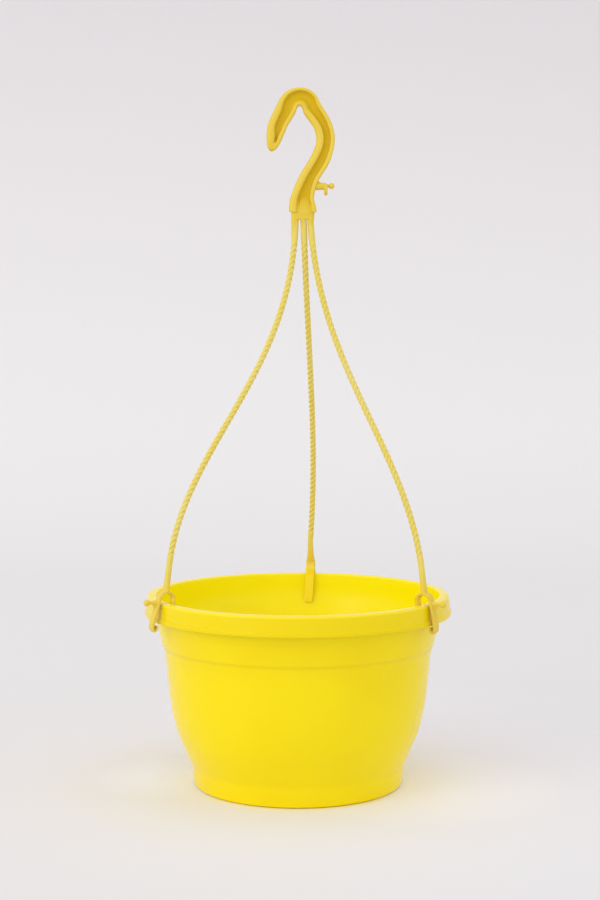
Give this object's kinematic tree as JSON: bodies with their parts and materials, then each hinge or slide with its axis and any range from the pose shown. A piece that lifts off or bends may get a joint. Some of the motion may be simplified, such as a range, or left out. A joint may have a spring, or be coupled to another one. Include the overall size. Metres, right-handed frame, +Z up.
{
  "type": "hanging plant pot",
  "caption": "Round tapered plastic pot with a hollow rolled rim, hung by stiff strands that clip over the rim and meet at a flat ribbed hook.",
  "frame": {"origin": "centre of the pot's round base, on the surface that it stands on", "axes": "+Z up along the pot's axis; +X to the right along the flat hook's width; -Y towards the viewer, square to the hook's ribbed face"},
  "size_m": [0.25, 0.2617, 0.5643],
  "materials": {
    "pot_plastic": "semi-gloss injection-moulded yellow plastic",
    "hanger_plastic": "satin injection-moulded yellow plastic, slightly more orange than the pot"
  },
  "bodies": {
    "pot": {"pot": "pot_plastic"},
    "hanger": {"strand_left": "hanger_plastic", "strand_right": "hanger_plastic", "strand_back": "hanger_plastic", "clip_left": "hanger_plastic", "clip_right": "hanger_plastic", "clip_back": "hanger_plastic"},
    "hook": {"hook": "hanger_plastic", "hook_peg": "hanger_plastic", "strand_root": "hanger_plastic"},
    "jaw_left": {"jaw_left": "hanger_plastic", "peg_left": "hanger_plastic"},
    "jaw_right": {"jaw_right": "hanger_plastic", "peg_right": "hanger_plastic"},
    "jaw_back": {"jaw_back": "hanger_plastic", "peg_back": "hanger_plastic"}
  },
  "joints": [
    {"name": "hanger_turn", "type": "hinge", "parent": "pot", "child": "hanger", "pos_m": [0, 0, 0.156], "axis": [0, 0, 1], "continuous": true},
    {"name": "hook_nod", "type": "hinge", "parent": "hanger", "child": "hook", "pos_m": [0.004, 0, 0.458], "axis": [1, 0, 0], "range_deg": [-60, 60], "stiffness_Nm_per_rad": 0.05},
    {"name": "jaw_left_flex", "type": "hinge", "parent": "hanger", "child": "jaw_left", "pos_m": [-0.10786, -0.05978, 0.16224], "axis": [-0.4848, 0.8746, 0], "range_deg": [0, 12], "stiffness_Nm_per_rad": 0.3},
    {"name": "jaw_right_flex", "type": "hinge", "parent": "hanger", "child": "jaw_right", "pos_m": [0.10271, -0.06824, 0.16224], "axis": [-0.5534, -0.8329, 0], "range_deg": [0, 12], "stiffness_Nm_per_rad": 0.3},
    {"name": "jaw_back_flex", "type": "hinge", "parent": "hanger", "child": "jaw_back", "pos_m": [0.01161, 0.12277, 0.16224], "axis": [0.9956, -0.0941, 0], "range_deg": [0, 12], "stiffness_Nm_per_rad": 0.3}
  ]
}
